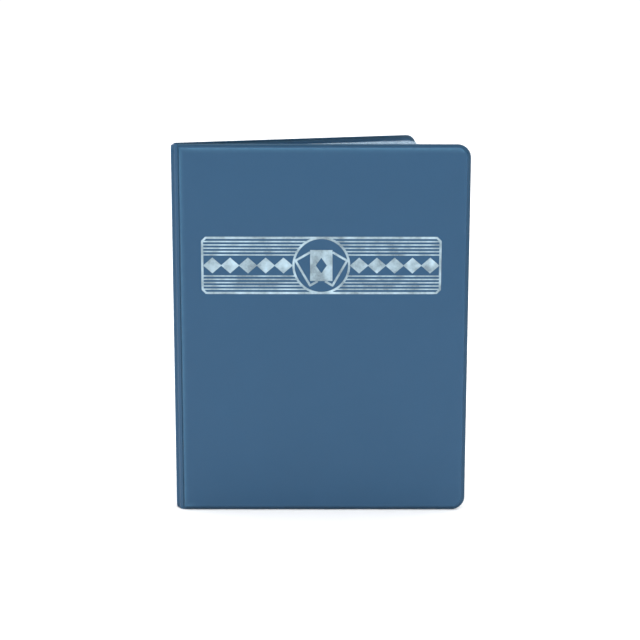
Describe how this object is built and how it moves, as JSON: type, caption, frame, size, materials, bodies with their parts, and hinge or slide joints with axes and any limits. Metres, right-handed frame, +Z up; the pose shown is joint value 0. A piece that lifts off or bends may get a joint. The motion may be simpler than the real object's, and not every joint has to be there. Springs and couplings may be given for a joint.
{
  "type": "trading card binder",
  "caption": "Slim heat-sealed vinyl trading card album with bound clear nine-pocket pages, two living hinges and a foil-stamped front, standing a little open.",
  "frame": {"origin": "bottom centre of the bounding box, on the surface the album stands on", "axes": "+Z up along the spine, +X along the front cover from the hinge to its free edge, -Y out of the front cover"},
  "size_m": [0.2424, 0.1416, 0.305],
  "materials": {
    "vinyl": "satin heat-sealed vinyl",
    "liner": "satin heat-sealed vinyl",
    "board": "grey chipboard",
    "foil": "hot-stamped silver foil",
    "binding": "satin",
    "film": "clear polypropylene film"
  },
  "bodies": {
    "spine": {"spine_skin": "vinyl", "spine_board": "board", "spine_liner": "liner", "front_hinge_web": "vinyl", "back_hinge_web": "vinyl", "binding_strip": "binding"},
    "front_cover": {"front_skin": "vinyl", "front_board": "board", "front_liner": "liner", "foil_emblem": "foil"},
    "back_cover": {"back_skin": "vinyl", "back_board": "board", "back_liner": "liner"},
    "page_01": {"page_01_back_film": "film", "page_01_pocket_row_1": "film", "page_01_pocket_row_2": "film", "page_01_pocket_row_3": "film"},
    "page_02": {"page_02_back_film": "film", "page_02_pocket_row_1": "film", "page_02_pocket_row_2": "film", "page_02_pocket_row_3": "film"},
    "page_03": {"page_03_back_film": "film", "page_03_pocket_row_1": "film", "page_03_pocket_row_2": "film", "page_03_pocket_row_3": "film"},
    "page_04": {"page_04_back_film": "film", "page_04_pocket_row_1": "film", "page_04_pocket_row_2": "film", "page_04_pocket_row_3": "film"},
    "page_05": {"page_05_back_film": "film", "page_05_pocket_row_1": "film", "page_05_pocket_row_2": "film", "page_05_pocket_row_3": "film"},
    "page_06": {"page_06_back_film": "film", "page_06_pocket_row_1": "film", "page_06_pocket_row_2": "film", "page_06_pocket_row_3": "film"},
    "page_07": {"page_07_back_film": "film", "page_07_pocket_row_1": "film", "page_07_pocket_row_2": "film", "page_07_pocket_row_3": "film"},
    "page_08": {"page_08_back_film": "film", "page_08_pocket_row_1": "film", "page_08_pocket_row_2": "film", "page_08_pocket_row_3": "film"},
    "page_09": {"page_09_back_film": "film", "page_09_pocket_row_1": "film", "page_09_pocket_row_2": "film", "page_09_pocket_row_3": "film"},
    "page_10": {"page_10_back_film": "film", "page_10_pocket_row_1": "film", "page_10_pocket_row_2": "film", "page_10_pocket_row_3": "film"}
  },
  "joints": [
    {"name": "front_hinge", "type": "hinge", "parent": "spine", "child": "front_cover", "pos_m": [-0.1168, -0.06721, 0.1525], "axis": [0, 0, -1], "range_deg": [-6, 84], "deforming": ["front_hinge_web"]},
    {"name": "back_hinge", "type": "hinge", "parent": "spine", "child": "back_cover", "pos_m": [-0.11837, -0.05229, 0.1525], "axis": [0, 0, 1], "range_deg": [-24.7, 65.3], "deforming": ["back_hinge_web"]},
    {"name": "page_01_hinge", "type": "hinge", "parent": "spine", "child": "page_01", "pos_m": [-0.11513, -0.06492, 0.1525], "axis": [0, 0, -1], "range_deg": [-5.91, 82.74]},
    {"name": "page_02_hinge", "type": "hinge", "parent": "spine", "child": "page_02", "pos_m": [-0.11476, -0.06367, 0.1525], "axis": [0, 0, -1], "range_deg": [-5.8, 81.23]},
    {"name": "page_03_hinge", "type": "hinge", "parent": "spine", "child": "page_03", "pos_m": [-0.11439, -0.06243, 0.1525], "axis": [0, 0, -1], "range_deg": [-5.69, 79.72]},
    {"name": "page_04_hinge", "type": "hinge", "parent": "spine", "child": "page_04", "pos_m": [-0.11402, -0.06118, 0.1525], "axis": [0, 0, -1], "range_deg": [-5.59, 78.2]},
    {"name": "page_05_hinge", "type": "hinge", "parent": "spine", "child": "page_05", "pos_m": [-0.11315, -0.05988, 0.1525], "axis": [0, 0, 1], "range_deg": [-22.11, 58.44]},
    {"name": "page_06_hinge", "type": "hinge", "parent": "spine", "child": "page_06", "pos_m": [-0.11377, -0.05874, 0.1525], "axis": [0, 0, 1], "range_deg": [-22.55, 59.62]},
    {"name": "page_07_hinge", "type": "hinge", "parent": "spine", "child": "page_07", "pos_m": [-0.11439, -0.0576, 0.1525], "axis": [0, 0, 1], "range_deg": [-23, 60.8]},
    {"name": "page_08_hinge", "type": "hinge", "parent": "spine", "child": "page_08", "pos_m": [-0.11502, -0.05646, 0.1525], "axis": [0, 0, 1], "range_deg": [-23.44, 61.97]},
    {"name": "page_09_hinge", "type": "hinge", "parent": "spine", "child": "page_09", "pos_m": [-0.11564, -0.05532, 0.1525], "axis": [0, 0, 1], "range_deg": [-23.89, 63.15]},
    {"name": "page_10_hinge", "type": "hinge", "parent": "spine", "child": "page_10", "pos_m": [-0.11626, -0.05418, 0.1525], "axis": [0, 0, 1], "range_deg": [-24.33, 64.32]}
  ],
  "couplings": [
    {"joint": "page_01_hinge", "follows": "front_hinge", "ratio": 0.985},
    {"joint": "page_02_hinge", "follows": "front_hinge", "ratio": 0.967},
    {"joint": "page_03_hinge", "follows": "front_hinge", "ratio": 0.949},
    {"joint": "page_04_hinge", "follows": "front_hinge", "ratio": 0.931},
    {"joint": "page_05_hinge", "follows": "back_hinge", "ratio": 0.895},
    {"joint": "page_06_hinge", "follows": "back_hinge", "ratio": 0.913},
    {"joint": "page_07_hinge", "follows": "back_hinge", "ratio": 0.931},
    {"joint": "page_08_hinge", "follows": "back_hinge", "ratio": 0.949},
    {"joint": "page_09_hinge", "follows": "back_hinge", "ratio": 0.967},
    {"joint": "page_10_hinge", "follows": "back_hinge", "ratio": 0.985}
  ]
}
